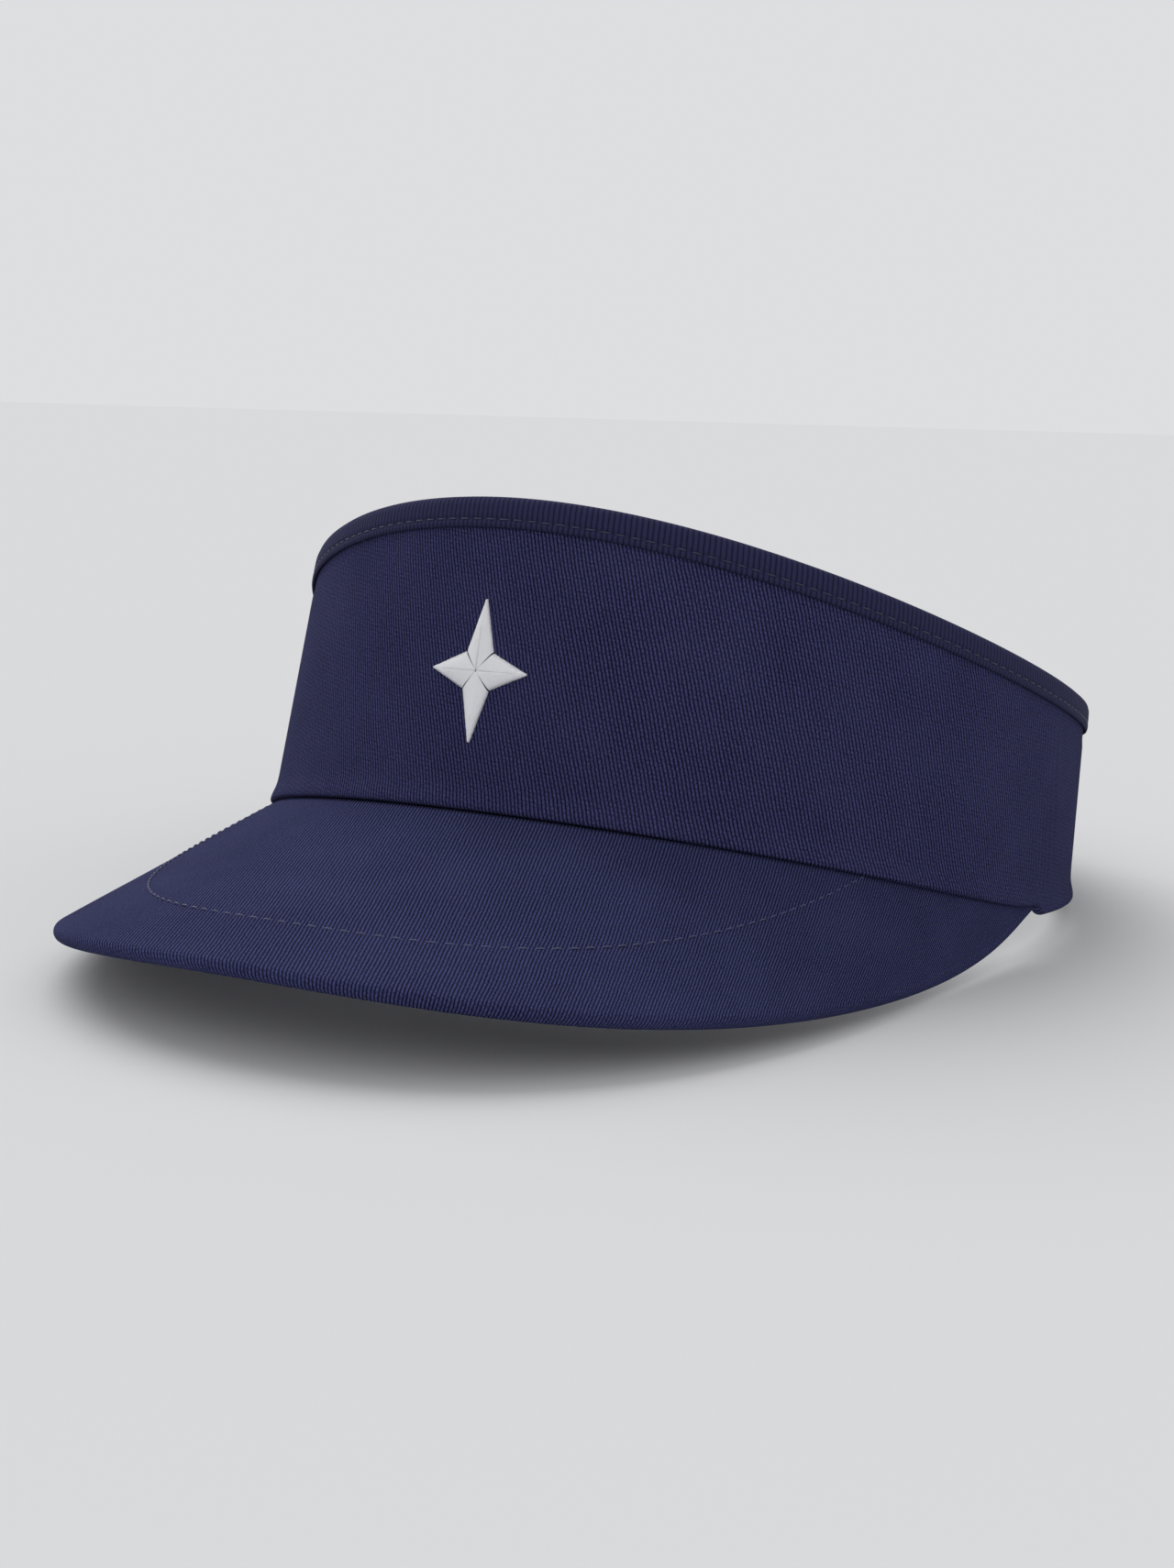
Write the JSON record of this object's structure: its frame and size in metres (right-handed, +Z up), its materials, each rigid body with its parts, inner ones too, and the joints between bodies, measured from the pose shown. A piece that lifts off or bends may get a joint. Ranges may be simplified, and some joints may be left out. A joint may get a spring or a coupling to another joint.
{
  "type": "sun visor",
  "caption": "Fabric sun visor: a tall stiffened crown band with a bound top edge, a board-stiffened arched brim and an overlapping hook-and-loop strap at the back.",
  "frame": {"origin": "bottom centre of the visor's bounding box, on the surface that it stands on", "axes": "+Y from the brim to the back of the head, +X towards the wearer's left, +Z up"},
  "size_m": [0.1798, 0.2818, 0.0929],
  "materials": {
    "twill": "cotton twill, matt with a faint sheen",
    "brim_twill": "cotton twill stretched over the board",
    "stiffener": "stiff open-weave buckram",
    "lining": "plain woven lining",
    "binding": "ribbed twill tape",
    "thread": "spun polyester thread",
    "embroidery": "glossy satin stitch",
    "backing": "tear-away paper backing",
    "board": "stiff polyethylene sheet",
    "terry": "looped terry towelling",
    "foam": "thin polyurethane foam",
    "tape": "plain woven cotton tape",
    "strap": "cotton twill strap, two plies",
    "hook": "nylon hook tape",
    "loop": "nylon loop tape",
    "label": "plain woven label"
  },
  "bodies": {
    "root": {"crown_panel": "twill", "crown_stiffener": "stiffener", "crown_lining": "lining", "top_binding": "binding", "binding_stitch": "thread", "emblem_embroidery": "embroidery", "emblem_backing": "backing", "brim_top_cover": "brim_twill", "brim_board": "board", "brim_under_cover": "brim_twill", "brim_stitch": "thread", "sweatband_foam": "foam", "sweatband_face": "terry", "sweatband_tape": "tape", "sweatband_stitch": "thread", "bar_tack_left": "thread", "bar_tack_right": "thread", "size_label": "label", "care_label": "label"},
    "outer_strap": {"outer_strap": "strap"},
    "closure_tab": {"closure_tab": "strap", "hook_patch": "hook", "hook_patch_stitch": "thread"},
    "inner_strap": {"inner_strap": "strap", "loop_patch": "loop", "loop_patch_stitch": "thread"}
  },
  "joints": [
    {"name": "outer_strap_swing", "type": "hinge", "parent": "root", "child": "outer_strap", "pos_m": [0.05751, 0.10807, 0.01159], "axis": [0.0372, -0.3218, -0.9461], "range_deg": [0, 60]},
    {"name": "closure_tab_peel", "type": "hinge", "parent": "outer_strap", "child": "closure_tab", "pos_m": [-0.01378, 0.13049, 0.00892], "axis": [-0.0089, -0.335, -0.9422], "range_deg": [0, 110]},
    {"name": "inner_strap_swing", "type": "hinge", "parent": "root", "child": "inner_strap", "pos_m": [-0.05529, 0.10552, 0.0119], "axis": [-0.0372, -0.3218, -0.9461], "range_deg": [0, 35]}
  ]
}
